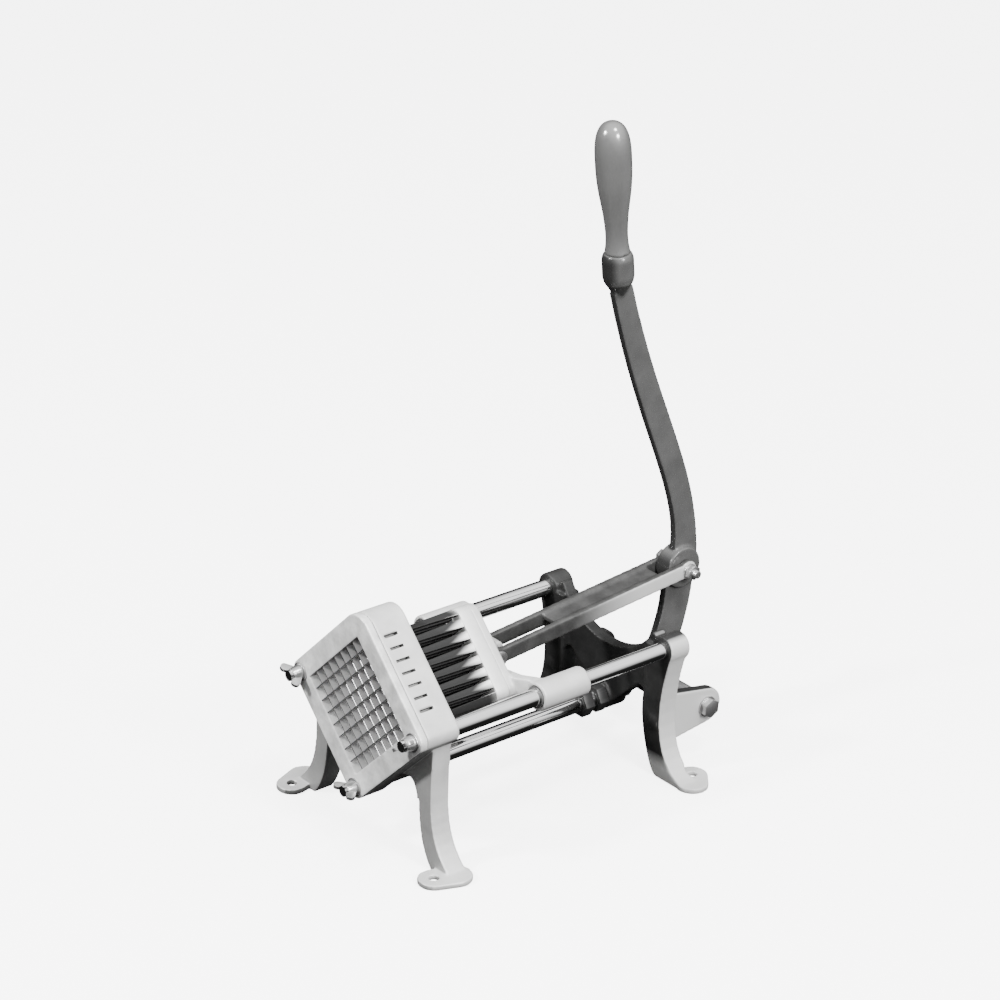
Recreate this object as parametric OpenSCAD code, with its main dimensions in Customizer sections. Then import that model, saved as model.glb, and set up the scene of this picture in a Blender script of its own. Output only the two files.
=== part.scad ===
// Bench-mounted french fry cutter with a long press lever.
// X runs across the cutter, Y from the blades to the lever, Z up.
// The origin lies on the bench, midway between the four foot holes.

/* [Blade grid] */
// Clear width of the square blade opening, which stands on its corner
opening = 76.2; // [72:0.1:80]
// Fry cells along each side of the grid
cells = 8; // [7:1:9]
// Thickness of one blade
blade_t = 0.8; // [0.6:0.1:1.2]
// Width of one blade from its front edge to its back edge
blade_w = 5.4; // [4.5:0.1:7]
// How far each blade end sits in the wall of its holder
blade_seat = 3; // [2:0.5:3.5]
// Wall of the holder's square sleeve
holder_wall = 4; // [3.8:0.1:5]
// Thickness of the holder's front flange
flange_t = 6; // [5:0.5:8]

/* [Frame] */
// Height of the cutter's centre line above the bench
axis_z = 104; // [100:1:110]
// Distance between the foot holes across the cutter
foot_gap_x = 164; // [160:1:170]
// Distance between the front and rear foot holes
foot_gap_y = 242; // [238:1:250]
// Diameter of each foot hole
foot_hole_d = 7; // [5:0.5:9]
// Thickness of each foot pad
pad_t = 4; // [3.5:0.5:8]
// Radius of each foot pad about its hole
pad_r = 11.5; // [10:0.5:12]
// Wall of the front ring, from the opening to its outer face
ring_wall = 15.9; // [15:0.1:18]
// Depth of the ring's two upper walls
ring_depth = 28; // [24:1:32]
// Depth of the ring's two lower walls
ring_low_depth = 16; // [16:0.5:20]
// Radius of the ring's top corner
crown_r = 15; // [8:1:18]
// Thickness of each front leg, from front to back
front_leg_t = 16; // [14:1:18]
// Width of each front leg at its hip
front_leg_w = 17.5; // [15:0.5:19]
// Length of the bosses of the rear frame
rear_boss_len = 18; // [16:1:22]
// Radius of the bosses of the rear frame
boss_r = 10.5; // [10:0.5:12]
// Thickness of each rear leg, from front to back
rear_leg_t = 16; // [14:1:18]
// Width of each rear leg at its hip
rear_leg_w = 29; // [26:0.5:30]
// Thickness of the rear frame's web
rear_web_t = 10; // [8:1:13]
// Radius of the saddle in the rear web, which clears the link
saddle_r = 58; // [54:1:64]
// Thickness of each ear that carries the fulcrum bolt
ear_t = 8; // [6:0.5:10]
// Radius of the end of each ear
ear_r = 14; // [12:0.5:15]

/* [Rods] */
// Diameter of the guide rods and the tie rod
rod_d = 12.7; // [12:0.1:14]
// Distance from each corner of the opening out to its rod's centre line
rod_offset = 10.1; // [9.5:0.1:11]
// Diameter of the threaded stud on each end of a rod
stud_d = 8; // [6:0.5:8.5]

/* [Pusher] */
// Length of the pusher's fingers
finger_len = 43.5; // [38:0.5:48]
// Width of a finger at its root
finger_root = 6.1; // [5.5:0.1:8]
// Width of a finger at its tip
finger_tip = 3.8; // [3:0.1:5.5]
// Thickness of the finger block's base
block_t = 10.5; // [8:0.5:13]
// Thickness of the carriage's back plate
back_t = 6.8; // [5:0.1:9]
// Distance from the ring back to the finger tips at rest
rest_gap = 9; // [7:0.5:12]
// Forward and backward travel of the pusher from rest
stroke = 50; // [40:1:50]
// Length of each carriage sleeve
sleeve_len = 42; // [36:1:48]
// Outer diameter of each carriage sleeve
sleeve_d = 21.5; // [21:0.5:24]
// Outer diameter of the bushings pressed into the sleeves
bushing_d = 16; // [15:0.5:17]

/* [Lever and link] */
// Distance from the elbow bolt to the fulcrum bolt
elbow_radius = 87.8; // [85:0.1:90]
// Backward lean of the lever's lower arm at rest, in degrees
elbow_lean = 14.5; // [12:0.1:16]
// Height of the fulcrum bolt above the bench
fulcrum_z = 42; // [38:0.5:44]
// Distance from the rear frame's back to the fulcrum bolt
ear_reach = 32; // [30:0.5:36]
// Diameter of the fulcrum bolt
fulcrum_d = 8; // [7:0.5:9]
// Diameter of the elbow bolt
elbow_d = 6; // [5:0.5:8]
// Diameter of the link's front pin
pin_d = 8; // [7:0.5:8.5]
// Rise from the elbow bolt to the lever's collar
lever_rise = 250; // [220:1:270]
// Distance that the collar leans forward of the elbow bolt
lever_forward = 74; // [60:0.5:85]
// Width of the lever's flat bar
bar_w = 20; // [16:0.5:23]
// Thickness of the lever's flat bar
bar_t = 6.5; // [6:0.5:10]
// Length of the grip above the collar
grip_len = 98; // [90:1:115]
// Largest diameter of the grip
grip_d = 26; // [22:0.5:28]
// Overall width of the link
link_w = 25; // [24:0.5:28]
// Thickness of each side bar of the link
link_bar_t = 5; // [4:0.5:5.5]
// Height of each side bar of the link
link_bar_h = 12; // [10:0.5:13]

/* [Hidden] */
$fn = 64;

// Clearances: run for turning and sliding fits, fit for pieces that are bolted up
run = 0.05;
fit = 0.1;
stud_fit = 0.25;
side_gap = 0.2;

// Blade grid
pitch = opening / cells;
open_diag = opening / sqrt(2);
blade_inset = 1;
blade_lap_gap = 0.1;

// Frame stations along Y
foot_x = foot_gap_x / 2;
foot_y = foot_gap_y / 2;
ring_setback = 0;
ring_front = -foot_y + ring_setback;
ring_back = ring_front + ring_depth;
ring_low_back = ring_front + ring_low_depth;
flange_front = ring_front - flange_t;
blade_y = flange_front + blade_inset;
rear_stand = -2;
rear_back = foot_y + rear_stand;
rear_front = rear_back - rear_boss_len;
web_inset = 3;

// Ring and holder outlines
ring_half = opening / 2 + ring_wall;
ring_diag = ring_half * sqrt(2);
rod_x = open_diag + rod_offset;
stud_r = stud_d / 2;
rod_r = rod_d / 2;
corner_r = (ring_diag - rod_x) / sqrt(2);
sleeve_half = opening / 2 + holder_wall;
sleeve_corner_r = 8;
socket_gap = 0.3;
holder_len = ring_low_depth - socket_gap;
slot_len = 11.5;
slot_w = 2;
slot_inset = 4;
slot_depth = 5;
hip_x = rod_x + boss_r;
front_hip_x = rod_x + 4;
front_leg_inset = 9;
pad_grow = 1;
front_pad_lobe = [5, 15];
rear_pad_lobe = [8, -8];
saddle_rise = 38;
saddle_reach = 50;
foot_head_d = foot_hole_d + 5;
foot_head_h = 12;

// Legs and webs: where each curve starts and ends, and the two points that bend it
front_hip_in = front_hip_x - front_leg_w;
front_toe = [foot_x + 6, pad_t - 1];
front_heel = [foot_x - 15, 0];
front_outer_bend = [[front_hip_x - 3, 53], [front_hip_x - 7.5, 23]];
front_inner_top = [front_hip_in, 64];
front_inner_bend = [[front_hip_in + 3, 46], [front_hip_in, 18]];
front_arch = [24, axis_z - ring_diag + 24];
front_arch_bend = [[36, axis_z - 39], [front_hip_in - 3, axis_z - 36]];
front_arch_end = [front_hip_in, axis_z - 56];
rear_hip_in = hip_x - rear_leg_w;
rear_toe = [foot_x + 13, pad_t - 1];
rear_heel = [foot_x - 19, 0];
rear_outer_bend = [[hip_x - 13, 64], [hip_x - 18, 10]];
rear_inner_top = [rear_hip_in, 62];
rear_inner_bend = [[rear_hip_in - 4, 41], [rear_hip_in + 10, 0]];
rear_arch = [34, axis_z - 43];
rear_arch_bend = [[37, axis_z - 39], [rear_hip_in - 4, axis_z - 37]];
rear_arch_end = [rear_hip_in, axis_z - 46];

// Rod hardware
washer_t = 1.4;
washer_r = stud_r + 3;
cap_across = 13;
cap_len = 7;
cap_dome = 4.5;
wing_hub_r = 5.6;
wing_hub_len = 7;
wing_reach = 8.6;
wing_t = 2.6;
jam_across = 19;
jam_len = 8.5;
jam_step = 13.5;
blind_len = 14;

// Pusher stations along Y
tip_y = ring_back + rest_gap;
block_front = tip_y + finger_len;
block_back = block_front + block_t;
plate_back = block_back + back_t;
sleeve_setback = 5.2;
sleeve_front = plate_back + sleeve_setback;
sleeve_back = sleeve_front + sleeve_len;
block_play = 1.1;
block_half = opening / 2 - block_play;
block_corner_r = 8.7;
corner_finger_setback = 1.3;
finger_reach = (block_half - block_corner_r) * sqrt(2) + block_corner_r - corner_finger_setback;
bushing_len = 12;
bushing_stand = 0.8;
arm_h = 20;
arm_len = 10;
screw_x = 20;
screw_z = 22;
screw_r = 2.5;
screw_head_r = 4.4;
screw_head_t = 3;

// Fulcrum, elbow and link pin, as [y, z]
fulcrum = [rear_back + ear_reach, fulcrum_z];
elbow = fulcrum + elbow_radius * [sin(elbow_lean), cos(elbow_lean)];
pin_setback = 14.2;
pin_rise = 6;
pin = [plate_back + pin_setback, axis_z + pin_rise];
link_len = norm(elbow - pin);
link_slope = atan2(elbow[1] - pin[1], elbow[0] - pin[0]);
fulcrum_r = fulcrum_d / 2;
elbow_r = elbow_d / 2;
pin_r = pin_d / 2;
bush_wall = 2;

// Slot in the carriage's lug: the pin drops and creeps forward at both ends of the stroke
pin_drop = 15.6;
pin_creep = 6.1;
pin_back = 0.2;
slot_play = 0.35;
slot_half_w = pin_r + slot_play;
lug_wall = 5;
link_half = link_w / 2;
bar_in = link_half - link_bar_t;
lug_half = bar_in - 1.2;
link_eye_r = 7.5;
web_front = 58;
web_back = 24;
web_t = 4;

// Lever
collar = elbow + [-lever_forward, lever_rise];
grip_lean = 6.4;
lower_bend = [fulcrum + [14, 30], elbow + [1, -34]];
upper_start = elbow + [4, 3];
upper_bend = [elbow + [9.3, 67], collar + [37.5, -131]];
upper_end = collar + [3.5, -15];
hub_r = 14;
hub_half = 10;
elbow_boss_r = 16;
elbow_half = bar_in - side_gap;
collar_r = 11.5;
collar_up = 13;
grip_stud_r = 4;
grip_bore_depth = 62;
spacer_r = 7;
ear_root_r = 19;
ear_out = 62;
ear_in = ear_out - ear_t;
bolt_washer_t = 1.6;
bolt_washer_r = 8;
bolt_across = 13;
bolt_head_t = 4.5;
fulcrum_nut_t = 6.5;
elbow_across = 10;
elbow_nut_t = 5;
elbow_stand = 8.6;
pin_head_r = 6;
pin_head_t = 2.5;

// Points of a cubic curve through p[0] and p[3]
function curve(p, n = 12) = [for (i = [0:n]) let (t = i / n)
    pow(1 - t, 3) * p[0] + 3 * t * pow(1 - t, 2) * p[1]
    + 3 * t * t * (1 - t) * p[2] + pow(t, 3) * p[3]];

// Points of an arc about c, from angle a0 to a1
function arc(c, r, a0, a1, n = 12) = [for (i = [0:n])
    let (a = a0 + (a1 - a0) * i / n) c + r * [cos(a), sin(a)]];

function reversed(p) = [for (i = [len(p) - 1:-1:0]) p[i]];

// Outline of a band along a list of points, with one half width for each point
function side_of(p, w, i, s) = let (
    a = p[max(i - 1, 0)], b = p[min(i + 1, len(p) - 1)], d = (b - a) / norm(b - a)
) p[i] + s * w[i] * [-d[1], d[0]];
function band(p, w) = concat(
    [for (i = [0:len(p) - 1]) side_of(p, w, i, 1)],
    [for (i = [len(p) - 1:-1:0]) side_of(p, w, i, -1)]);

// An outline in X and Z, extruded along Y
module along_y(y0, y1) {
    translate([0, y1, 0]) rotate([90, 0, 0]) linear_extrude(y1 - y0) children();
}

// An outline in Y and Z, extruded along X
module along_x(x0, x1) {
    translate([x0, 0, 0]) rotate([90, 0, 90]) linear_extrude(x1 - x0) children();
}

module bar_y(x, z, y0, y1, r) {
    translate([x, y0, z]) rotate([-90, 0, 0]) cylinder(h = y1 - y0, r = r);
}

module bar_x(p, x0, x1, r) {
    translate([x0, p[0], p[1]]) rotate([0, 90, 0]) cylinder(h = x1 - x0, r = r);
}

module hex_y(x, z, y0, y1, across) {
    translate([x, y0, z]) rotate([-90, 0, 0])
        cylinder(h = y1 - y0, r = across / sqrt(3), $fn = 6);
}

module hex_x(p, x0, x1, across) {
    translate([x0, p[0], p[1]]) rotate([0, 90, 0])
        cylinder(h = x1 - x0, r = across / sqrt(3), $fn = 6);
}

// Two circles and the straight sides between them
module capsule(p, pr, q, qr) {
    d = norm(q - p);
    a = acos((pr - qr) / d);
    w = atan2(q[1] - p[1], q[0] - p[0]);
    translate(p) circle(pr);
    translate(q) circle(qr);
    polygon([
        p + pr * [cos(w + a), sin(w + a)], q + qr * [cos(w + a), sin(w + a)],
        q + qr * [cos(w - a), sin(w - a)], p + pr * [cos(w - a), sin(w - a)]]);
}

// Square on its corner with rounded corners, about the centre line
module diamond(half, r) {
    translate([0, axis_z]) rotate(45) union() {
        square([2 * half, 2 * (half - r)], center = true);
        square([2 * (half - r), 2 * half], center = true);
        for (a = [0:90:270]) rotate(a) translate([half - r, half - r]) circle(r);
    }
}

module sharp_diamond(half) {
    translate([0, axis_z]) rotate(45) square(2 * half, center = true);
}

// Places of the three rods, as [x, z]
rod_places = [[-rod_x, axis_z], [rod_x, axis_z], [0, axis_z - rod_x]];

// The ring's outline: its lower three corners are round about the rods
module ring_outline() {
    top = [0, axis_z + ring_diag - crown_r * sqrt(2)];
    polygon(concat(
        arc(top, crown_r, 135, 45),
        arc(rod_places[1], corner_r, 45, -45),
        arc(rod_places[2], corner_r, -45, -135),
        arc(rod_places[0], corner_r, -135, -225)));
}

module stud_holes(y0, y1) {
    for (p = rod_places) bar_y(p[0], p[1], y0 - 1, y1 + 1, stud_r + stud_fit);
}

// Foot pad on side s, from its hole at y to a lobe under the leg
module pad(s, y, lobe) {
    linear_extrude(pad_t) capsule(
        [s * foot_x, y], pad_r, [s * (foot_x + lobe[0]), y + lobe[1]], pad_r + pad_grow);
}

// Foot hole on side s, with room above the pad for a bolt's head
module foot_hole(s, y) {
    translate([s * foot_x, y, -1]) cylinder(h = pad_t + 2, d = foot_hole_d);
    translate([s * foot_x, y, pad_t]) cylinder(h = foot_head_h, d = foot_head_d);
}

module front_leg_outline() {
    outer = curve(concat([[front_hip_x, axis_z]], front_outer_bend, [front_toe]));
    inner = curve(concat([front_inner_top], front_inner_bend, [front_heel]));
    polygon(concat(outer, [[front_toe[0], 0]], reversed(inner), [[front_hip_in, axis_z]]));
    // Web from the ring's lower wall out to the leg, arched underneath
    arch = curve(concat([front_arch], front_arch_bend, [front_arch_end]));
    polygon(concat(arch, [[rod_x, axis_z]]));
}

module front_frame() {
    color("gainsboro") {
        difference() {
            union() {
                difference() {
                    along_y(ring_front, ring_back) ring_outline();
                    // The lower walls are shorter than the hood above them
                    translate([0, ring_low_back, 0])
                        linear_extrude(axis_z - corner_r)
                            translate([-ring_diag, 0]) square([2 * ring_diag, ring_depth]);
                }
                for (s = [0, 1]) mirror([s, 0, 0])
                    along_y(ring_front + front_leg_inset,
                        ring_front + front_leg_inset + front_leg_t) front_leg_outline();
                for (s = [-1, 1]) pad(s, -foot_y, front_pad_lobe);
            }
            along_y(ring_front - 1, ring_low_back) diamond(sleeve_half + socket_gap, sleeve_corner_r);
            along_y(ring_low_back - 1, ring_back + 1) sharp_diamond(opening / 2 + 0.4);
            stud_holes(ring_front, ring_back);
            blade_marks();
            for (s = [-1, 1]) foot_hole(s, -foot_y);
        }
    }
}

// Short slots in the two upper walls, one in line with each blade
module blade_marks() {
    for (side = [45, -45], i = [1:cells - 1])
        translate([0, 0, axis_z]) rotate([0, side, 0])
            translate([(i - cells / 2) * pitch - slot_w / 2, ring_front + slot_inset,
                ring_half - slot_depth])
                cube([slot_w, slot_len, slot_depth + 1]);
}

module rear_leg_outline() {
    outer = curve(concat([[hip_x, axis_z]], rear_outer_bend, [rear_toe]));
    inner = curve(concat([rear_inner_top], rear_inner_bend, [rear_heel]));
    polygon(concat(outer, [[rear_toe[0], 0]], reversed(inner), [[rear_hip_in, axis_z]]));
}

// V web between the rods, hollowed on top so that the link can pass
module rear_web_outline() {
    saddle_z = axis_z + saddle_rise;
    sweep = asin(saddle_reach / saddle_r);
    top = [for (a = [-sweep:sweep / 10:sweep])
        [saddle_r * sin(a), saddle_z - saddle_r * cos(a)]];
    arch = curve(concat([rear_arch], rear_arch_bend, [rear_arch_end]));
    half = concat(arch, [[rod_x, axis_z]]);
    tip = [0, axis_z - rod_x - boss_r - 1];
    polygon(concat(top, reversed(half), [tip], [for (p = half) [-p[0], p[1]]]));
}

module ear_outline() {
    capsule([rear_back, fulcrum_z + 1], ear_root_r, fulcrum, ear_r);
}

module rear_frame() {
    color("gainsboro") difference() {
        union() {
            along_y(rear_front + web_inset, rear_front + web_inset + rear_web_t) rear_web_outline();
            for (p = rod_places) bar_y(p[0], p[1], rear_front, rear_back, boss_r);
            for (s = [0, 1]) mirror([s, 0, 0]) {
                along_y(rear_front, rear_front + rear_leg_t) rear_leg_outline();
                along_x(ear_in, ear_out) ear_outline();
            }
            for (s = [-1, 1]) pad(s, foot_y, rear_pad_lobe);
        }
        for (p = [rod_places[0], rod_places[1]])
            bar_y(p[0], p[1], rear_front - 1, rear_front + blind_len, stud_r + run);
        bar_y(rod_places[2][0], rod_places[2][1], rear_front - 1, rear_back + 1, stud_r + stud_fit);
        bar_x(fulcrum, -ear_out - 1, ear_out + 1, fulcrum_r + fit);
        for (s = [-1, 1]) foot_hole(s, foot_y);
    }
}

// A rod with a threaded stud on each end: y0 is its front shoulder, rear the back end of its stud
module rod(p, y0, rear) {
    front = flange_front - washer_t - wing_hub_len - 2.5;
    color("silver") {
        bar_y(p[0], p[1], y0, rear_front, rod_r);
        bar_y(p[0], p[1], front, y0 + 0.01, stud_r);
        bar_y(p[0], p[1], rear_front - 0.01, rear, stud_r);
    }
}

module left_guide_rod() {
    rod(rod_places[0], ring_back, rear_front + blind_len - 1);
}

module right_guide_rod() {
    rod(rod_places[1], ring_back, rear_front + blind_len - 1);
}

module tie_rod() {
    rod(rod_places[2], ring_low_back, rear_back + washer_t + cap_len + 1);
}

// Two nuts in front of the rear frame
module tie_rod_jam_nuts() {
    p = rod_places[2];
    color("dimgray") for (y1 = [rear_front, rear_front - jam_step]) difference() {
        hex_y(p[0], p[1], y1 - jam_len, y1, jam_across);
        bar_y(p[0], p[1], y1 - jam_len - 1, y1 + 1, rod_r + run);
    }
}

module washer_y(p, y0) {
    color("silver") difference() {
        bar_y(p[0], p[1], y0, y0 + washer_t, washer_r);
        bar_y(p[0], p[1], y0 - 1, y0 + washer_t + 1, stud_r + fit);
    }
}

module front_washers() {
    for (p = rod_places) washer_y(p, flange_front - washer_t);
}

module tie_rod_rear_washer() {
    washer_y(rod_places[2], rear_back);
}

module tie_rod_cap_nut() {
    p = rod_places[2];
    y0 = rear_back + washer_t;
    color("silver") difference() {
        union() {
            hex_y(p[0], p[1], y0, y0 + cap_len, cap_across);
            translate([p[0], y0 + cap_len, p[1]]) rotate([-90, 0, 0])
                rotate_extrude() intersection() {
                    translate([0, -1]) circle(cap_across / 2 - 0.6);
                    square([cap_across, cap_dome]);
                }
        }
        bar_y(p[0], p[1], y0 - 1, y0 + cap_len + 1.2, stud_r + run);
    }
}

// Removable holder: a flange on the ring's front and a sleeve in its socket
module blade_holder() {
    color("gainsboro") difference() {
        union() {
            along_y(flange_front, ring_front) ring_outline();
            along_y(ring_front - 1, ring_front + holder_len) diamond(sleeve_half, sleeve_corner_r);
        }
        along_y(flange_front - 1, ring_front + holder_len + 1) sharp_diamond(opening / 2);
        stud_holes(flange_front, ring_front);
        for (angle = [45, -45]) blade_set(angle, blade_seat + fit, run);
    }
}

// One set of parallel blades: turned by angle, ends seat deep in the holder, play all round
module blade_set(angle, seat, play) {
    half = opening / 2 + seat;
    translate([0, blade_y, axis_z]) rotate([0, angle, 0])
        for (i = [1:cells - 1])
            translate([-half, -play, (i - cells / 2) * pitch - blade_t / 2 - play])
                cube([2 * half, blade_w + 2 * play, blade_t + 2 * play]);
}

// Notches across one set, half a blade deep from y0, where the other set laps into it
module blade_notches(angle, y0) {
    notch_w = blade_t + 2 * blade_lap_gap;
    translate([0, y0, axis_z]) rotate([0, angle, 0])
        for (i = [1:cells - 1])
            translate([(i - cells / 2) * pitch - notch_w / 2, 0, -opening / 2])
                cube([notch_w, blade_w / 2 + blade_lap_gap + 1, opening]);
}

module falling_blades() {
    color("whitesmoke") difference() {
        blade_set(45, blade_seat, 0);
        blade_notches(45, blade_y + blade_w / 2 - blade_lap_gap);
    }
}

module rising_blades() {
    color("whitesmoke") difference() {
        blade_set(-45, blade_seat, 0);
        blade_notches(-45, blade_y - 1);
    }
}

// Wing nut on the front stud of a rod, its wings turned by angle about the rod
module wing_nut(p, angle) {
    y0 = flange_front - washer_t;
    color("silver") translate([p[0], y0, p[1]]) rotate([0, angle, 0]) difference() {
        union() {
            rotate([90, 0, 0]) cylinder(h = wing_hub_len, r1 = wing_hub_r, r2 = wing_hub_r - 1.2);
            for (s = [0, 1]) mirror([s, 0, 0])
                translate([0, 0, -wing_t / 2]) linear_extrude(wing_t)
                    capsule([wing_hub_r - 1.5, -wing_hub_len / 2], 2.4,
                        [wing_reach - 1.2, -wing_hub_len - 1], 3.2);
        }
        rotate([90, 0, 0]) translate([0, 0, -1])
            cylinder(h = wing_hub_len + 8, r = stud_r + run);
    }
}

module left_wing_nut() {
    wing_nut(rod_places[0], 26);
}

module right_wing_nut() {
    wing_nut(rod_places[1], -38);
}

module bottom_wing_nut() {
    wing_nut(rod_places[2], 8);
}

// Carriage arm from above, from the back plate to the sleeve on side s
module arm_outline() {
    side = rod_x - rod_r - 2;
    polygon([[26, plate_back - 1], [open_diag - 6, plate_back - 1],
        [side, sleeve_front], [side + 3, sleeve_front], [side + 3, sleeve_front + arm_len],
        [side - 1, sleeve_front + arm_len - 2], [46, plate_back + 7], [32, plate_back + 4]]);
}

module pin_slot_outline() {
    back = pin[0] + pin_back + slot_half_w;
    front = pin[0] - pin_creep - slot_half_w;
    top = pin[1];
    low = pin[1] - pin_drop;
    capsule([front + slot_half_w, top], slot_half_w, [front + slot_half_w, low], slot_half_w);
    capsule([back - slot_half_w, top], slot_half_w, [back - slot_half_w, low], slot_half_w);
    translate([front + slot_half_w, low - slot_half_w])
        square([back - front - 2 * slot_half_w, pin_drop + 2 * slot_half_w]);
}

module lug_outline() {
    back = pin[0] + pin_back + slot_half_w + lug_wall;
    top = pin[1] + slot_half_w + lug_wall;
    low = pin[1] - pin_drop - slot_half_w - lug_wall;
    r = 6;
    translate([plate_back - 1, low]) square([back - r - plate_back + 1, top - low]);
    translate([back - 2 * r, low + r]) square([2 * r, top - low - 2 * r]);
    for (z = [low + r, top - r]) translate([back - r, z]) circle(r);
}

module carriage() {
    color("gainsboro") difference() {
        union() {
            along_y(block_back, plate_back) diamond(block_half, block_corner_r);
            for (p = [rod_places[0], rod_places[1]])
                bar_y(p[0], p[1], sleeve_front, sleeve_back, sleeve_d / 2);
            for (s = [0, 1]) mirror([s, 0, 0])
                translate([0, 0, axis_z - arm_h / 2]) linear_extrude(arm_h) arm_outline();
            along_x(-lug_half, lug_half) lug_outline();
        }
        for (p = [rod_places[0], rod_places[1]]) {
            bar_y(p[0], p[1], sleeve_front - 8, sleeve_back + 1, rod_r + 1);
            bar_y(p[0], p[1], sleeve_front - 8, sleeve_front + bushing_len, bushing_d / 2);
            bar_y(p[0], p[1], sleeve_back - bushing_len, sleeve_back + 1, bushing_d / 2);
        }
        along_x(-lug_half - 1, lug_half + 1) pin_slot_outline();
        for (x = [-screw_x, screw_x], z = [-screw_z, screw_z])
            bar_y(x, axis_z + z, block_back - 1, plate_back + 1, screw_r + fit);
    }
}

module sleeve_bushings() {
    color("darkgoldenrod") for (p = [rod_places[0], rod_places[1]],
        y = [sleeve_front - bushing_stand, sleeve_back - bushing_len + bushing_stand])
        difference() {
            bar_y(p[0], p[1], y, y + bushing_len, bushing_d / 2 - 0.02);
            bar_y(p[0], p[1], y - 1, y + bushing_len + 1, rod_r + run);
        }
}

// Row of tapered fingers, seen along the blades of one set
module finger_comb(angle) {
    root = finger_root / 2;
    tip = finger_tip / 2;
    translate([0, 0, axis_z]) rotate([0, angle, 0]) translate([0, 0, -block_half])
        linear_extrude(2 * block_half)
            for (i = [0:cells - 1]) translate([(i - (cells - 1) / 2) * pitch, 0]) polygon([
                [-root, block_front + 1], [-root, block_front], [-tip, tip_y],
                [tip, tip_y], [root, block_front], [root, block_front + 1]]);
}

// Base with one finger for each fry cell: the crossing combs leave the fingers, and those at the
// four corners are cut flat to stay on the base
module finger_block() {
    color("gainsboro") difference() {
        union() {
            along_y(block_front, block_back) diamond(block_half, block_corner_r);
            intersection() {
                finger_comb(45);
                finger_comb(-45);
                translate([-finger_reach, tip_y - 1, axis_z - finger_reach])
                    cube([2 * finger_reach, finger_len + 3, 2 * finger_reach]);
            }
        }
        for (x = [-screw_x, screw_x], z = [-screw_z, screw_z])
            bar_y(x, axis_z + z, block_back - 8, block_back + 1, screw_r + run);
    }
}

module pusher_screws() {
    color("silver") for (x = [-screw_x, screw_x], z = [-screw_z, screw_z]) {
        bar_y(x, axis_z + z, block_back - 7.5, plate_back + 0.01, screw_r);
        bar_y(x, axis_z + z, plate_back, plate_back + screw_head_t, screw_head_r);
    }
}

// Outline of one side bar of the link, from the front pin to the elbow bolt
module link_bar_outline() {
    capsule(pin, link_bar_h / 2, elbow, link_bar_h / 2);
    for (p = [pin, elbow]) translate(p) circle(link_eye_r);
}

module link() {
    color("darkgray") difference() {
        union() {
            for (s = [0, 1]) mirror([s, 0, 0]) along_x(bar_in, link_half) link_bar_outline();
            // Web that joins the bars between the carriage's lug and the lever
            translate([-bar_in - 0.5, pin[0], pin[1]]) rotate([link_slope, 0, 0])
                translate([0, web_front, 0])
                    cube([2 * bar_in + 1, link_len - web_front - web_back, web_t]);
        }
        bar_x(pin, -link_half - 1, link_half + 1, pin_r + fit);
        bar_x(elbow, -link_half - 1, link_half + 1, elbow_r + fit);
    }
}

// Pin through both bars and the carriage's slot, with a head on the right and a groove for its clip
module link_pin() {
    end = link_half + 3.5;
    color("silver") difference() {
        union() {
            bar_x(pin, -end, link_half + 0.01, pin_r);
            bar_x(pin, link_half, link_half + pin_head_t, pin_head_r);
        }
        difference() {
            bar_x(pin, -link_half - 1.6, -link_half - 0.4, pin_r + 1);
            bar_x(pin, -link_half - 2, -link_half, pin_r - 0.8);
        }
    }
}

module link_pin_clip() {
    color("dimgray") difference() {
        bar_x(pin, -link_half - 1.5, -link_half - 0.5, pin_r + 2);
        bar_x(pin, -link_half - 3, -link_half + 1, pin_r - 0.75);
    }
}

module elbow_bolt() {
    near = link_half + washer_t + elbow_stand;
    far = -link_half - washer_t;
    color("silver") {
        bar_x(elbow, far - 0.01, near, elbow_r);
        hex_x(elbow, far - elbow_nut_t, far, elbow_across);
    }
}

module elbow_nut() {
    x0 = link_half + washer_t;
    color("silver") difference() {
        hex_x(elbow, x0, x0 + elbow_nut_t, elbow_across);
        bar_x(elbow, x0 - 1, x0 + elbow_nut_t + 1, elbow_r + run);
    }
}

module elbow_washers() {
    color("silver") for (x = [-link_half - washer_t, link_half]) difference() {
        bar_x(elbow, x, x + washer_t, elbow_across / 2 + 0.6);
        bar_x(elbow, x - 1, x + washer_t + 1, elbow_r + fit);
    }
}

// Flat bar with an eye at the fulcrum, an eye at the elbow and a round collar for the grip
module lever() {
    lower = curve(concat([fulcrum], lower_bend, [elbow]));
    lower_w = [for (i = [0:12]) 13.2 + 1.2 * pow(abs(i - 6) / 6, 2)];
    upper = curve(concat([upper_start], upper_bend, [upper_end]), 16);
    upper_w = [for (i = [0:16]) bar_w / 2 + 2.5 * pow(1 - min(i, 4) / 4, 2)
        - 1.2 * max(i - 10, 0) / 6];
    color("gray") difference() {
        union() {
            along_x(-hub_half, hub_half) translate(fulcrum) circle(hub_r);
            along_x(-elbow_half, elbow_half) translate(elbow) circle(elbow_boss_r);
            along_x(-bar_t / 2, bar_t / 2) {
                polygon(band(lower, lower_w));
                polygon(band(upper, upper_w));
            }
            translate([0, collar[0], collar[1]]) rotate([grip_lean, 0, 0]) collar_body();
        }
        bar_x(fulcrum, -hub_half - 1, hub_half + 1, fulcrum_r + bush_wall);
        bar_x(elbow, -elbow_half - 1, elbow_half + 1, elbow_r + bush_wall);
        translate([0, collar[0], collar[1]]) rotate([grip_lean, 0, 0])
            translate([0, 0, -8]) cylinder(h = 30, r = grip_stud_r + fit);
    }
}

module collar_body() {
    low = -20;
    rotate_extrude() polygon([[0, low], [bar_t / 2 + 0.5, low], [collar_r - 1, -9], [collar_r, -5],
        [collar_r, collar_up - 4], [collar_r - 1.5, collar_up], [0, collar_up]]);
}

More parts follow.
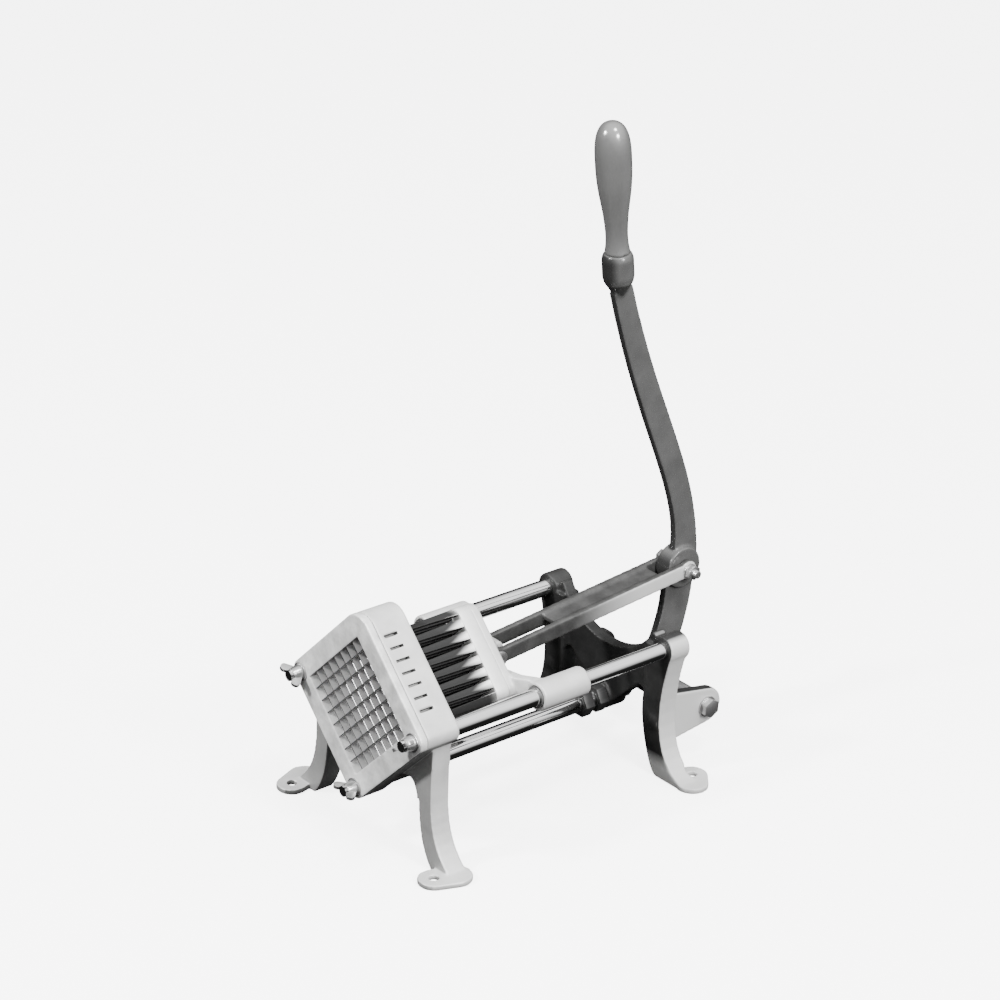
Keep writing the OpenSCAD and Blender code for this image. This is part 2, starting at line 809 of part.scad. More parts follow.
module elbow_bush() {
    color("darkgoldenrod") difference() {
        bar_x(elbow, -elbow_half, elbow_half, elbow_r + bush_wall - 0.02);
        bar_x(elbow, -elbow_half - 1, elbow_half + 1, elbow_r + run);
    }
}

module fulcrum_bush() {
    color("darkgoldenrod") difference() {
        bar_x(fulcrum, -hub_half, hub_half, fulcrum_r + bush_wall - 0.02);
        bar_x(fulcrum, -hub_half - 1, hub_half + 1, fulcrum_r + run);
    }
}

module fulcrum_bolt() {
    far = ear_out + bolt_washer_t;
    color("silver") {
        bar_x(fulcrum, -far - fulcrum_nut_t - 2, far + 0.01, fulcrum_r);
        hex_x(fulcrum, far, far + bolt_head_t, bolt_across);
    }
}

module fulcrum_nut() {
    x1 = -ear_out - bolt_washer_t;
    color("silver") difference() {
        hex_x(fulcrum, x1 - fulcrum_nut_t, x1, bolt_across);
        bar_x(fulcrum, x1 - fulcrum_nut_t - 1, x1 + 1, fulcrum_r + run);
    }
}

module fulcrum_washers() {
    color("silver") for (x = [-ear_out - bolt_washer_t, ear_out]) difference() {
        bar_x(fulcrum, x, x + bolt_washer_t, bolt_washer_r);
        bar_x(fulcrum, x - 1, x + bolt_washer_t + 1, fulcrum_r + fit);
    }
}

// Tubes on the fulcrum bolt that keep the lever midway between the ears
module fulcrum_spacers() {
    color("silver") for (s = [0, 1]) mirror([s, 0, 0]) difference() {
        bar_x(fulcrum, hub_half + side_gap, ear_in, spacer_r);
        bar_x(fulcrum, hub_half, ear_in + 1, fulcrum_r + fit);
    }
}

// Threaded stud that joins the grip to the collar
module grip_stud() {
    color("silver") translate([0, collar[0], collar[1]]) rotate([grip_lean, 0, 0])
        translate([0, 0, -8]) cylinder(h = collar_up + 8 + grip_bore_depth - 1, r = grip_stud_r);
}

// Turned grip: slim neck, swelling to its widest near the round top
module grip() {
    neck_r = 8.2;
    wide_r = grip_d / 2;
    wide_at = grip_len - 29;
    side = concat(
        curve([[neck_r + 1.2, 0], [neck_r - 0.8, 8], [neck_r - 0.4, 16], [neck_r + 0.6, 26]], 8),
        curve([[neck_r + 1, 30], [neck_r + 3, 44], [wide_r, wide_at - 18], [wide_r, wide_at]], 8),
        curve([[wide_r, wide_at + 4], [wide_r, grip_len - 8], [wide_r - 4, grip_len], [0, grip_len]], 12));
    color("dimgray") translate([0, collar[0], collar[1]]) rotate([grip_lean, 0, 0])
        translate([0, 0, collar_up]) difference() {
            rotate_extrude() polygon(concat([[0, 0]], side));
            translate([0, 0, -1]) cylinder(h = grip_bore_depth + 1, r = grip_stud_r + run);
        }
}

front_frame();
rear_frame();
left_guide_rod();
right_guide_rod();
tie_rod();
tie_rod_jam_nuts();
tie_rod_rear_washer();
tie_rod_cap_nut();
front_washers();
blade_holder();
falling_blades();
rising_blades();
fulcrum_bolt();
fulcrum_nut();
fulcrum_washers();
fulcrum_spacers();
left_wing_nut();
right_wing_nut();
bottom_wing_nut();
carriage();
sleeve_bushings();
finger_block();
pusher_screws();
link();
link_pin();
link_pin_clip();
elbow_bolt();
elbow_nut();
elbow_washers();
lever();
elbow_bush();
fulcrum_bush();
grip_stud();
grip();
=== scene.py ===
"""Looks of a lever-operated french fry cutter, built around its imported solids."""
import math

import bmesh
import bpy
from mathutils import Matrix, Vector


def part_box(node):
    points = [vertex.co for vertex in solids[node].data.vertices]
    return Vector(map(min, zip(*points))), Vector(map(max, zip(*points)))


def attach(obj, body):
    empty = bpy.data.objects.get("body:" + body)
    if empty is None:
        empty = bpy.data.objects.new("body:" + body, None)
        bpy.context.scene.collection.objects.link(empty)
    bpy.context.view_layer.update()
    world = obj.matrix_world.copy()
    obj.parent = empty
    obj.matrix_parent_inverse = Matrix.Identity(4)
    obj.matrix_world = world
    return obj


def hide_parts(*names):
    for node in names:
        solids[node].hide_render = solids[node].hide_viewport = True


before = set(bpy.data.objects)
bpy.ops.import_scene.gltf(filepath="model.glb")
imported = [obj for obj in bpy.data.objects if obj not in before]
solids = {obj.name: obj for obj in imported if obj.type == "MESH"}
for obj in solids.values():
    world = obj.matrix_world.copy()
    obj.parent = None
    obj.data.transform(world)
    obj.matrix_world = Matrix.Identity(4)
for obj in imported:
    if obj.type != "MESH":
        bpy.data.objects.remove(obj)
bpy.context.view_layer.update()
scene = bpy.context.scene

# View
# A long lens in front of the cutter and to its right, above the lever's elbow. It looks down on
# the blades and leans over slightly.
view_place = Vector((1.5767, -1.3456, 1.1804))
view_heading, view_tilt, view_lean = (math.radians(a) for a in (49.57, 65.29, 1.86))
view = bpy.data.objects.new("view", bpy.data.cameras.new("view"))
scene.collection.objects.link(view)
view.data.sensor_width = 36
view.data.lens = 117.6
view.data.clip_end = 60
view.matrix_world = (
    Matrix.Translation(view_place)
    @ Matrix.Rotation(view_heading, 4, "Z")
    @ Matrix.Rotation(view_tilt, 4, "X")
    @ Matrix.Rotation(view_lean, 4, "Z")
)
scene.camera = view

# Studio
# A white floor that runs on past the view, a room that is bright above and to the right and dark
# elsewhere, and soft lamps. The floor throws no light back up, so undersides stay dark.
def add_node(tree, kind, sockets=(), **settings):
    """One shader node. sockets pairs an input with a value, or with the output that feeds it."""
    made = tree.nodes.new(kind)
    for name, value in settings.items():
        setattr(made, name, value)
    for name, value in sockets:
        if isinstance(value, bpy.types.NodeSocket):
            tree.links.new(value, made.inputs[name])
        else:
            made.inputs[name].default_value = value
    return made


def soft_lamp(name, place, aim, width, power):
    lamp = bpy.data.objects.new(name, bpy.data.lights.new(name, "AREA"))
    scene.collection.objects.link(lamp)
    lamp.data.shape = "DISK"
    lamp.data.size = width
    lamp.data.energy = power
    lamp.location = place
    lamp.rotation_euler = (Vector(aim) - Vector(place)).to_track_quat("-Z", "Y").to_euler()


floor_half = 40.0
floor_shape = bmesh.new()
bmesh.ops.create_grid(floor_shape, x_segments=2, y_segments=2, size=floor_half)
floor = bpy.data.objects.new("floor", bpy.data.meshes.new("floor"))
floor_shape.to_mesh(floor.data)
floor_shape.free()
scene.collection.objects.link(floor)
pale = bpy.data.materials.new("pale_floor")
pale.use_nodes = True
pale_shader = pale.node_tree.nodes["Principled BSDF"]
pale_shader.inputs["Base Color"].default_value = (0.93, 0.93, 0.93, 1)
pale_shader.inputs["Roughness"].default_value = 0.9
pale_shader.inputs["Specular IOR Level"].default_value = 0.1
pale_shader.inputs["Emission Color"].default_value = (1, 1, 1, 1)
pale_shader.inputs["Emission Strength"].default_value = 4.5
floor.data.materials.append(pale)
floor.visible_diffuse = False
floor.visible_glossy = False

room = bpy.data.worlds.new("room")
scene.world = room
room.use_nodes = True
room_tree = room.node_tree
room_heading = add_node(room_tree, "ShaderNodeTexCoord").outputs["Generated"]
room_above = add_node(room_tree, "ShaderNodeVectorMath", [
    (0, room_heading), (1, (0.42, 0.05, 0.91))], operation="DOT_PRODUCT")
room_glow = add_node(room_tree, "ShaderNodeMapRange", [
    ("Value", room_above.outputs["Value"]), ("From Min", 0.05), ("From Max", 0.85),
    ("To Min", 0.015), ("To Max", 1.9)], interpolation_type="SMOOTHSTEP")
room_light = room_tree.nodes["Background"]
room_tree.links.new(room_glow.outputs["Result"], room_light.inputs["Color"])
room_light.inputs["Strength"].default_value = 1.0

soft_lamp("key_lamp", (0.9, 0.05, 2.0), (0, 0, 0.12), 0.4, 30)
soft_lamp("right_lamp", (1.75, 0.1, 1.2), (0, 0, 0.12), 0.4, 32)
soft_lamp("front_lamp", (-0.5, -1.7, 1.5), (0, 0, 0.15), 0.3, 64)


# Front frame
# One aluminium casting: a square ring that stands on its corner, with a deep hood above, and two
# arched legs with foot pads. It is tumbled until its edges are round, and then seven slots are
# milled across each upper side of the hood.
def cast_finish(name, low, high, metal, roughness, grain, depth, cloud):
    """Cast metal: cloudy tone between two greys, fine skin grain, and painted shade in hollow
    corners.

    grain and cloud are the widths of the two patterns, and depth is the grain's height, in metres.
    """
    finish = bpy.data.materials.new(name)
    finish.use_nodes = True
    tree = finish.node_tree
    shader = tree.nodes["Principled BSDF"]
    place = add_node(tree, "ShaderNodeTexCoord").outputs["Object"]
    clouds = add_node(tree, "ShaderNodeTexNoise", [
        ("Vector", place), ("Scale", 1 / cloud), ("Detail", 5.0), ("Roughness", 0.6)])
    tone = add_node(tree, "ShaderNodeMapRange", [
        ("Value", clouds.outputs["Fac"]), ("From Min", 0.32), ("From Max", 0.68)])
    body = add_node(tree, "ShaderNodeMix", [
        ("Factor", tone.outputs["Result"]), ("A", (low, low, low * 0.99, 1)),
        ("B", (high, high, high * 0.99, 1))], data_type="RGBA")
    # Painted shade: hollow corners, found by their pointiness, are darkened.
    bend = add_node(tree, "ShaderNodeNewGeometry").outputs["Pointiness"]
    hollow_shade = add_node(tree, "ShaderNodeMapRange", [
        ("Value", bend), ("From Min", 0.40), ("From Max", 0.49),
        ("To Min", 0.45), ("To Max", 1.0)])
    hollow_shaded = add_node(tree, "ShaderNodeMix", [
        ("Factor", 1.0), ("A", body.outputs["Result"]), ("B", hollow_shade.outputs["Result"])],
        data_type="RGBA", blend_type="MULTIPLY")
    tree.links.new(hollow_shaded.outputs["Result"], shader.inputs["Base Color"])
    shader.inputs["Metallic"].default_value = metal
    skin = add_node(tree, "ShaderNodeTexNoise", [
        ("Vector", place), ("Scale", 1 / grain), ("Detail", 3.0), ("Roughness", 0.55)])
    rough = add_node(tree, "ShaderNodeMapRange", [
        ("Value", skin.outputs["Fac"]), ("To Min", roughness - 0.08), ("To Max", roughness + 0.1)])
    tree.links.new(rough.outputs["Result"], shader.inputs["Roughness"])
    bump = add_node(tree, "ShaderNodeBump", [
        ("Height", skin.outputs["Fac"]), ("Strength", 1.0), ("Distance", depth)])
    tree.links.new(bump.outputs["Normal"], shader.inputs["Normal"])
    return finish


def paint_face_shade(finish, ends=1.0, under=1.0, inner=1.0):
    """Paints shade on faces, as these shares of the tone: ends look along Y, and under looks down.

    inner is for faces that look across to the middle plane.
    """
    tree = finish.node_tree
    shader = tree.nodes["Principled BSDF"]
    unshaded_colour = shader.inputs["Base Color"].links[0].from_socket
    place = add_node(tree, "ShaderNodeTexCoord").outputs
    facing = add_node(tree, "ShaderNodeSeparateXYZ", [("Vector", place["Normal"])]).outputs
    spot = add_node(tree, "ShaderNodeSeparateXYZ", [("Vector", place["Object"])]).outputs
    outward = add_node(tree, "ShaderNodeMath", [
        (0, facing["X"]), (1, spot["X"])], operation="MULTIPLY")
    inner_share = add_node(tree, "ShaderNodeMapRange", [
        ("Value", outward.outputs[0]), ("From Min", -0.02), ("From Max", -0.04),
        ("To Min", 1.0), ("To Max", inner)])
    along = add_node(tree, "ShaderNodeMath", [(0, facing["Y"])], operation="ABSOLUTE")
    end_share = add_node(tree, "ShaderNodeMapRange", [
        ("Value", along.outputs[0]), ("From Min", 0.6), ("From Max", 0.9),
        ("To Min", 1.0), ("To Max", ends)])
    under_share = add_node(tree, "ShaderNodeMapRange", [
        ("Value", facing["Z"]), ("From Min", -0.35), ("From Max", -0.65),
        ("To Min", 1.0), ("To Max", under)])
    darker = add_node(tree, "ShaderNodeMath", [
        (0, end_share.outputs["Result"]), (1, under_share.outputs["Result"])],
        operation="MINIMUM")
    shade_share = add_node(tree, "ShaderNodeMath", [
        (0, darker.outputs[0]), (1, inner_share.outputs["Result"])], operation="MINIMUM")
    toned = add_node(tree, "ShaderNodeMix", [
        ("Factor", 1.0), ("A", unshaded_colour), ("B", shade_share.outputs[0])],
        data_type="RGBA", blend_type="MULTIPLY")
    tree.links.new(toned.outputs["Result"], shader.inputs["Base Color"])


def merged_copy(solid):
    """A closed working copy of a solid, which itself is loose triangles."""
    shape = bmesh.new()
    shape.from_mesh(solids[solid].data)
    bmesh.ops.remove_doubles(shape, verts=shape.verts, dist=2e-6)
    return shape


def finished_piece(name, shape, body, finish, replaced=()):
    """The object made of a mesh, on the body that carries it and in place of what it shows."""
    mesh = bpy.data.meshes.new(name)
    shape.to_mesh(mesh)
    shape.free()
    if "custom_normal" in mesh.attributes:
        mesh.attributes.remove(mesh.attributes["custom_normal"])
    mesh.materials.clear()
    mesh.materials.append(finish)
    mesh.polygons.foreach_set("material_index", [0] * len(mesh.polygons))
    mesh.shade_smooth()
    mesh.set_sharp_from_angle(angle=math.radians(40))
    piece = bpy.data.objects.new(name, mesh)
    scene.collection.objects.link(piece)
    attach(piece, body)
    if replaced:
        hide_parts(*replaced)
    return piece


def milled(shape, cutter):
    """The shape less the cutter. Both are closed, and both are used up."""
    work, tool = (bpy.data.objects.new(n, bpy.data.meshes.new(n)) for n in ("work", "tool"))
    for item, source in ((work, shape), (tool, cutter)):
        source.to_mesh(item.data)
        source.free()
        scene.collection.objects.link(item)
    cut = work.modifiers.new("cut", "BOOLEAN")
    cut.operation = "DIFFERENCE"
    cut.solver = "EXACT"
    cut.object = tool
    result = bmesh.new()
    result.from_mesh(work.evaluated_get(bpy.context.evaluated_depsgraph_get()).to_mesh())
    bpy.data.objects.remove(work)
    bpy.data.objects.remove(tool)
    return result


def casting(solid, body, finish, voxel=0.0008, tumbling=5, cutter=None):
    """A solid as it leaves the mould and the tumbler: every edge and inner corner is rounded.

    The cutter's shape is milled out after that, so its edges stay crisp.
    """
    raw = bpy.data.objects.new("raw", bpy.data.meshes.new("raw"))
    shape = merged_copy(solid)
    shape.to_mesh(raw.data)
    shape.free()
    scene.collection.objects.link(raw)
    skin = raw.modifiers.new("skin", "REMESH")
    skin.mode = "VOXEL"
    skin.voxel_size = voxel
    depsgraph = bpy.context.evaluated_depsgraph_get()
    shape = bmesh.new()
    shape.from_mesh(raw.evaluated_get(depsgraph).to_mesh())
    bpy.data.objects.remove(raw)
    for _ in range(tumbling):
        bmesh.ops.smooth_vert(
            shape, verts=shape.verts, factor=0.5,
            use_axis_x=True, use_axis_y=True, use_axis_z=True)
    if cutter:
        shape = milled(shape, cutter)
    return finished_piece(solid + "_casting", shape, body, finish, [solid])


aluminium = {
    "low": 0.60, "high": 0.74, "metal": 0.25, "roughness": 0.45,
    "grain": 0.0009, "depth": 0.00005, "cloud": 0.018}
front_skin = cast_finish("front_skin", **aluminium)
# Painted shade on faces that look along Y, on faces that look down and on faces that look across to
# the middle.
paint_face_shade(front_skin, ends=0.5, under=0.2, inner=0.2)
cell_pitch = 0.009525
slot_size = Vector((0.0021, 0.0115, 0.006))
slot_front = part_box("blade_holder")[0].y + 0.010
slot_middle = 0.002
ring_centre = Vector((0, 0, 0.104))
ring_reach = 0.054
slots = bmesh.new()
for lean in (45, -45):
    for place in range(-3, 4):
        centre = Vector((
            place * cell_pitch, slot_front + slot_size.y / 2, ring_reach - slot_middle))
        bmesh.ops.create_cube(slots, size=1.0, matrix=(
            Matrix.Translation(ring_centre) @ Matrix.Rotation(math.radians(lean), 4, "Y")
            @ Matrix.Translation(centre) @ Matrix.Diagonal((*slot_size, 1))))
casting("front_frame", "frame", front_skin, cutter=slots)


# Rear frame
# The second aluminium casting: a dished web between three rod bosses, two arched legs, and two
# ears behind them for the fulcrum bolt. Its faces are painted dark as shade, and the sides that
# face away from its middle and its feet are painted light.
def lit_and_shaded_finish(name, shade_low, shade_high, bright, metal, roughness, grain, depth,
                  half_width, foot=0.0, fade=None):
    """Cast metal painted dark as shade, with painted light on the sides that face away from its
    middle.

    half_width is how far those sides stand from the middle. Below the height foot the painted light
    covers it all over. fade gives two places along Y: the painted light starts at the first and is
    full at the second.
    """
    finish = cast_finish(name, shade_low, shade_high, metal, roughness, grain, depth, cloud=0.014)
    tree = finish.node_tree
    shader = tree.nodes["Principled BSDF"]
    # The tone below is dark to stand for shade, and the sides facing out are painted light over it.
    skin = shader.inputs["Base Color"].links[0].from_socket
    place = add_node(tree, "ShaderNodeTexCoord").outputs
    facing = add_node(tree, "ShaderNodeSeparateXYZ", [("Vector", place["Normal"])]).outputs
    spot = add_node(tree, "ShaderNodeSeparateXYZ", [("Vector", place["Object"])]).outputs
    outward = add_node(tree, "ShaderNodeMath", [
        (0, facing["X"]), (1, spot["X"])], operation="MULTIPLY")
    amount = add_node(tree, "ShaderNodeMapRange", [
        ("Value", outward.outputs[0]), ("From Min", half_width * 0.3),
        ("From Max", half_width * 0.75)]).outputs["Result"]
    if foot:
        low = add_node(tree, "ShaderNodeMapRange", [
            ("Value", spot["Z"]), ("From Min", foot), ("From Max", foot * 0.5)])
        amount = add_node(tree, "ShaderNodeMath", [
            (0, amount), (1, low.outputs["Result"])], operation="MAXIMUM").outputs[0]
    if fade:
        lit_fade = add_node(tree, "ShaderNodeMapRange", [
            ("Value", spot["Y"]), ("From Min", fade[0]), ("From Max", fade[1])],
            interpolation_type="SMOOTHSTEP")
        amount = add_node(tree, "ShaderNodeMath", [
            (0, amount), (1, lit_fade.outputs["Result"])], operation="MULTIPLY").outputs[0]
    tone = add_node(tree, "ShaderNodeMix", [
        ("Factor", amount), ("A", skin), ("B", (bright, bright, bright * 0.99, 1))],
        data_type="RGBA")
    tree.links.new(tone.outputs["Result"], shader.inputs["Base Color"])
    return finish


# Painted shade on the faces, and painted light on the outer sides and the feet.
rear_lit_and_shaded = lit_and_shaded_finish(
    "rear_lit_and_shaded", shade_low=0.009, shade_high=0.024, bright=0.6, metal=0.1, roughness=0.5,
    grain=0.0009, depth=0.00005, half_width=0.065, foot=0.02)
casting("rear_frame", "frame", rear_lit_and_shaded)

# Blade holder
# A machined flange with a square sleeve behind it, held on the ring by the wing nuts. Its face is
# rubbed bright, with dull spots where the casting was low.
bright_holder = cast_finish(
    "bright_holder", low=0.6, high=0.98, metal=0.2, roughness=0.38,
    grain=0.0012, depth=0.00003, cloud=0.011)
# Painted shade on the faces that look down.
paint_face_shade(bright_holder, under=0.15)
casting("blade_holder", "frame", bright_holder, voxel=0.0007, tumbling=3)


# Blades
# Ground strips of hard steel, held in the holder by their ends. Fine grinding lines run along them,
# and their edges that look along Y are painted darker as shade.
def ground_finish(name, tone, metal, roughness, line, depth, along):
    """Ground or drawn metal: fine lines along one axis (0, 1 or 2), line metres apart."""
    finish = bpy.data.materials.new(name)
    finish.use_nodes = True
    tree = finish.node_tree
    shader = tree.nodes["Principled BSDF"]
    place = add_node(tree, "ShaderNodeTexCoord").outputs["Object"]
    stretch = [1 / line] * 3
    stretch[along] /= 60
    lines = add_node(tree, "ShaderNodeMapping", [("Vector", place), ("Scale", stretch)])
    marks = add_node(tree, "ShaderNodeTexNoise", [
        ("Vector", lines.outputs["Vector"]), ("Scale", 1.0), ("Detail", 3.0)])
    shade = add_node(tree, "ShaderNodeMapRange", [
        ("Value", marks.outputs["Fac"]), ("From Min", 0.25), ("From Max", 0.75),
        ("To Min", tone * 0.82), ("To Max", tone)])
    tree.links.new(shade.outputs["Result"], shader.inputs["Base Color"])
    shader.inputs["Metallic"].default_value = metal
    rough = add_node(tree, "ShaderNodeMapRange", [
        ("Value", marks.outputs["Fac"]),
        ("To Min", roughness * 0.7), ("To Max", roughness * 1.3)])
    tree.links.new(rough.outputs["Result"], shader.inputs["Roughness"])
    bump = add_node(tree, "ShaderNodeBump", [
        ("Height", marks.outputs["Fac"]), ("Strength", 1.0), ("Distance", depth)])
    tree.links.new(bump.outputs["Normal"], shader.inputs["Normal"])
    return finish


def refinish(finish, *names):
    for name in names:
        solids[name].data.materials.clear()
        solids[name].data.materials.append(finish)


ground_steel = ground_finish(
    "ground_steel", tone=0.5, metal=0.3, roughness=0.42, line=0.0003, depth=0.00001, along=1)
# Painted shade on the blades' edges that look along Y.
paint_face_shade(ground_steel, ends=0.15)
refinish(ground_steel, "falling_blades", "rising_blades")

# Rods
# Three bright drawn bars. The two guide rods carry the pusher, and the lower one ties the frames.
bright_bar = ground_finish(
    "bright_bar", tone=0.9, metal=1.0, roughness=0.1, line=0.0004, depth=0.000003, along=1)
refinish(bright_bar, "left_guide_rod", "right_guide_rod", "tie_rod")


# Nuts, washers and bolts
# Zinc-plated steel, turned from bar. Their edges are broken, and threads show where a bolt's end
# stands out of its nut.
def machined(solid, body, finish, edge, sides=2):
    """A solid with its sharp edges broken by a small round of the given width."""
    shape = merged_copy(solid)
    bmesh.ops.dissolve_limit(
        shape, angle_limit=math.radians(0.5), verts=shape.verts, edges=shape.edges)
    sharp = [e for e in shape.edges if e.is_manifold and e.calc_face_angle() > math.radians(35)]
    bmesh.ops.bevel(
        shape, geom=sharp, offset=edge, offset_type="OFFSET", affect="EDGES", segments=sides,
        profile=0.5, material=-1, clamp_overlap=True)
    return finished_piece(solid + "_piece", shape, body, finish, [solid])


def thread(name, start, along, length, radius, body, finish, pitch=0.00125):
    """The ridge of a screw thread on a bolt's bare end, from start for length along a direction.

    Its foot lies a little below the radius, inside the bolt, and its crest stands above it.
    """
    along = Vector(along)
    across = along.orthogonal().normalized()
    ridge_width = 0.7
    foot = radius - 0.0002
    crest = radius + 0.00035
    turns = length / pitch - ridge_width
    steps = round(turns * 24)
    shape = bmesh.new()
    ridge = [
        shape.verts.new(Vector(start) + across * foot),
        shape.verts.new(Vector(start) + along * pitch * ridge_width / 2 + across * crest),
        shape.verts.new(Vector(start) + along * pitch * ridge_width + across * foot)]
    loop = [shape.edges.new((ridge[i], ridge[i - 1])) for i in range(3)]
    shape.faces.new(ridge)
    bmesh.ops.spin(
        shape, geom=[*ridge, *loop], cent=start, axis=along,
        dvec=along * pitch * turns / steps, angle=math.tau * turns, steps=steps)
    bmesh.ops.holes_fill(shape, edges=shape.edges, sides=4)
    bmesh.ops.recalc_face_normals(shape, faces=shape.faces)
    return finished_piece(name, shape, body, finish)


zinc_plate = ground_finish(
    "zinc_plate", tone=0.55, metal=0.9, roughness=0.32, line=0.0006, depth=0.000008, along=0)
dark_oxide = ground_finish(
    "dark_oxide", tone=0.07, metal=0.6, roughness=0.4, line=0.0006, depth=0.00001, along=1)
for hardware in ("front_washers", "tie_rod_rear_washer", "tie_rod_cap_nut", "fulcrum_bolt",
                 "fulcrum_nut", "fulcrum_washers", "fulcrum_spacers"):
    machined(hardware, "frame", zinc_plate, edge=0.0004)
for hardware in ("elbow_bolt", "elbow_nut", "elbow_washers", "link_pin"):
    machined(hardware, "link", zinc_plate, edge=0.0004)
machined("pusher_screws", "pusher", zinc_plate, edge=0.0006)
machined("tie_rod_jam_nuts", "frame", dark_oxide, edge=0.0006)
machined("link_pin_clip", "link", dark_oxide, edge=0.0002)
refinish(zinc_plate, "grip_stud")

stud_thread_radius = 0.0038
stud_bare = 0.0025
for rod in ("left_guide_rod", "right_guide_rod", "tie_rod"):
    low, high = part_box(rod)
    tip = Vector(((low.x + high.x) / 2, low.y, (low.z + high.z) / 2))
    thread(rod + "_thread", tip, (0, 1, 0), stud_bare, stud_thread_radius, "frame", zinc_plate)
elbow_thread_radius = 0.0028
bolt_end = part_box("elbow_bolt")[1].x
nut_low, nut_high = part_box("elbow_nut")
nut_centre = (nut_low + nut_high) / 2
thread("elbow_thread", (nut_high.x, nut_centre.y, nut_centre.z), (1, 0, 0),
       bolt_end - nut_high.x, elbow_thread_radius, "link", zinc_plate)

# Wing nuts
# Small cast wing nuts with tapered hubs and two rounded ears, plated like the other hardware. They
# are loosened by hand to change the blades.
for side in ("left", "right", "bottom"):
    machined(side + "_wing_nut", side + "_wing", zinc_plate, edge=0.0007, sides=3)

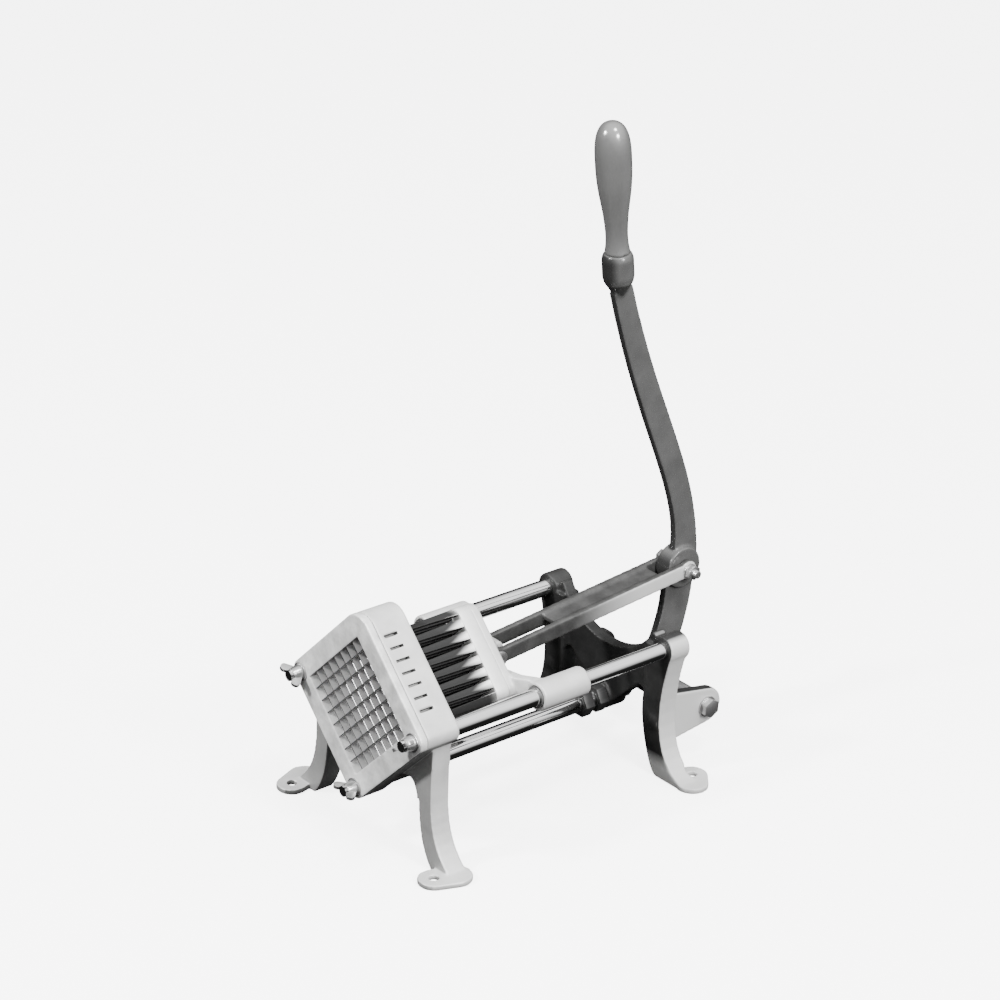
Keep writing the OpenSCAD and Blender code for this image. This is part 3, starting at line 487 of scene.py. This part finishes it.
# Pusher
# The carriage is a third aluminium casting with a sleeve on each guide rod. The finger block is
# screwed on its front, and its square fingers pass between the blades. Bronze bushings line the
# sleeves and the lever's eyes.
def finger_finish(name, bright, shade_tone, tips, roots, middle, row, pitch, creep):
    """The block's bright metal, with painted shade on the fingers' sides.

    A side whose plane is nearer than row to the block's axis, at the height middle, looks at other
    fingers and is painted dark as shade down to its root. On the outer sides the painted shade
    fades from tips to roots, which are places along Y. It reaches further towards the roots away
    from each finger's middle, by creep at half a pitch, so what stays unshaded is a wedge.
    """
    lit_metallic = 0.3
    finish = cast_finish(
        name, low=bright * 0.85, high=bright, metal=lit_metallic, roughness=0.4,
        grain=0.0008, depth=0.00003, cloud=0.015)
    tree = finish.node_tree
    shader = tree.nodes["Principled BSDF"]
    unshaded_metal = shader.inputs["Base Color"].links[0].from_socket
    place = add_node(tree, "ShaderNodeTexCoord").outputs
    spot = add_node(tree, "ShaderNodeSeparateXYZ", [("Vector", place["Object"])]).outputs
    facing = add_node(tree, "ShaderNodeSeparateXYZ", [("Vector", place["Normal"])]).outputs
    side = add_node(tree, "ShaderNodeMapRange", [
        ("Value", facing["Y"]), ("From Min", -0.7), ("From Max", -0.4)]).outputs["Result"]
    rise = add_node(tree, "ShaderNodeMath", [(0, spot["Z"]), (1, middle)], operation="SUBTRACT")
    sideways = add_node(tree, "ShaderNodeMath", [
        (0, rise.outputs[0]), (1, facing["X"])], operation="MULTIPLY")
    level = add_node(tree, "ShaderNodeMath", [
        (0, spot["X"]), (1, facing["Z"])], operation="MULTIPLY")
    across = add_node(tree, "ShaderNodeMath", [
        (0, level.outputs[0]), (1, sideways.outputs[0])], operation="SUBTRACT")
    fingers = add_node(tree, "ShaderNodeMath", [
        (0, across.outputs[0]), (1, pitch)], operation="DIVIDE")
    centred = add_node(tree, "ShaderNodeMath", [
        (0, fingers.outputs[0]), (1, 0.5)], operation="PINGPONG")
    crept = add_node(tree, "ShaderNodeMath", [
        (0, centred.outputs[0]), (1, 2 * creep), (2, spot["Y"])], operation="MULTIPLY_ADD")
    outer = add_node(tree, "ShaderNodeMapRange", [
        ("Value", crept.outputs[0]), ("From Min", tips + creep), ("From Max", roots + creep),
        ("To Min", 1.0), ("To Max", 0.0)], interpolation_type="SMOOTHSTEP").outputs["Result"]
    upward = add_node(tree, "ShaderNodeMath", [
        (0, rise.outputs[0]), (1, facing["Z"])], operation="MULTIPLY")
    reach = add_node(tree, "ShaderNodeMath", [
        (0, spot["X"]), (1, facing["X"]), (2, upward.outputs[0])], operation="MULTIPLY_ADD")
    between = add_node(tree, "ShaderNodeMath", [
        (0, reach.outputs[0]), (1, row)], operation="LESS_THAN").outputs[0]
    before = add_node(tree, "ShaderNodeMath", [
        (0, spot["Y"]), (1, roots)], operation="LESS_THAN").outputs[0]
    # Painted shade on the fingers' sides, from the tips back and between the rows.
    painted_shade = add_node(tree, "ShaderNodeMath", [(0, between), (1, outer)], operation="MAXIMUM")
    on_finger = add_node(tree, "ShaderNodeMath", [(0, side), (1, before)], operation="MULTIPLY")
    amount = add_node(tree, "ShaderNodeMath", [
        (0, on_finger.outputs[0]), (1, painted_shade.outputs[0])], operation="MULTIPLY")
    tone = add_node(tree, "ShaderNodeMix", [
        ("Factor", amount.outputs[0]), ("A", unshaded_metal), ("B", (shade_tone, shade_tone, shade_tone, 1))],
        data_type="RGBA")
    tree.links.new(tone.outputs["Result"], shader.inputs["Base Color"])
    shader.inputs["Specular IOR Level"].default_value = 0.05
    shaded_metallic = add_node(tree, "ShaderNodeMapRange", [
        ("Value", amount.outputs[0]), ("To Min", lit_metallic), ("To Max", 0.0)])
    tree.links.new(shaded_metallic.outputs["Result"], shader.inputs["Metallic"])
    return finish


tumbled_aluminium = cast_finish("tumbled_aluminium", **aluminium)
# Painted shade on the carriage's faces that look down.
paint_face_shade(tumbled_aluminium, under=0.25)
casting("carriage", "pusher", tumbled_aluminium)
finger_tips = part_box("finger_block")[0].y
finger_length = 0.0435
# Painted shade, nearly black, on the fingers' sides.
finger_metal = finger_finish(
    "finger_metal", bright=0.9, shade_tone=0.03, tips=finger_tips + 0.024,
    roots=finger_tips + finger_length, middle=ring_centre.z, row=0.031, pitch=cell_pitch,
    creep=0.014)
machined("finger_block", "pusher", finger_metal, edge=0.0006)
bronze = ground_finish(
    "bronze", tone=0.3, metal=0.9, roughness=0.35, line=0.0005, depth=0.00001, along=1)
refinish(bronze, "sleeve_bushings", "fulcrum_bush", "elbow_bush")

# Link
# A malleable casting of two side bars and a web between them. The bars' outer sides carry a painted
# highlight towards the lever, and the rest is painted dark as shade.
link_low, link_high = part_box("link")
# Painted highlight on the bars' outer sides near the lever, over a tone painted dark as shade.
link_metal = lit_and_shaded_finish(
    "link_metal", shade_low=0.04, shade_high=0.085, bright=0.9, metal=0.3, roughness=0.36,
    grain=0.0009, depth=0.00004, half_width=0.018, fade=(link_low.y + 0.07, link_high.y - 0.045))
casting("link", "link", link_metal)

# Lever
# A long cast bar, curved forward above its elbow, with an eye at each pivot and a round collar
# that takes the grip. It is coated in dark grey, and the coating is smooth.
lever_coat = cast_finish(
    "lever_coat", low=0.09, high=0.12, metal=0.1, roughness=0.24,
    grain=0.0011, depth=0.00004, cloud=0.02)
# Painted shade on the lever's faces that look along Y and on its faces that look down.
paint_face_shade(lever_coat, ends=0.3, under=0.3)
casting("lever", "lever", lever_coat, tumbling=7)

# Grip
# A turned handle, slim at the neck and full at the top, screwed on a stud in the lever's collar.
# It is grey and polished.
grip_gloss = cast_finish(
    "grip_gloss", low=0.23, high=0.27, metal=0.5, roughness=0.2,
    grain=0.0012, depth=0.000005, cloud=0.03)
casting("grip", "lever", grip_gloss, tumbling=4)
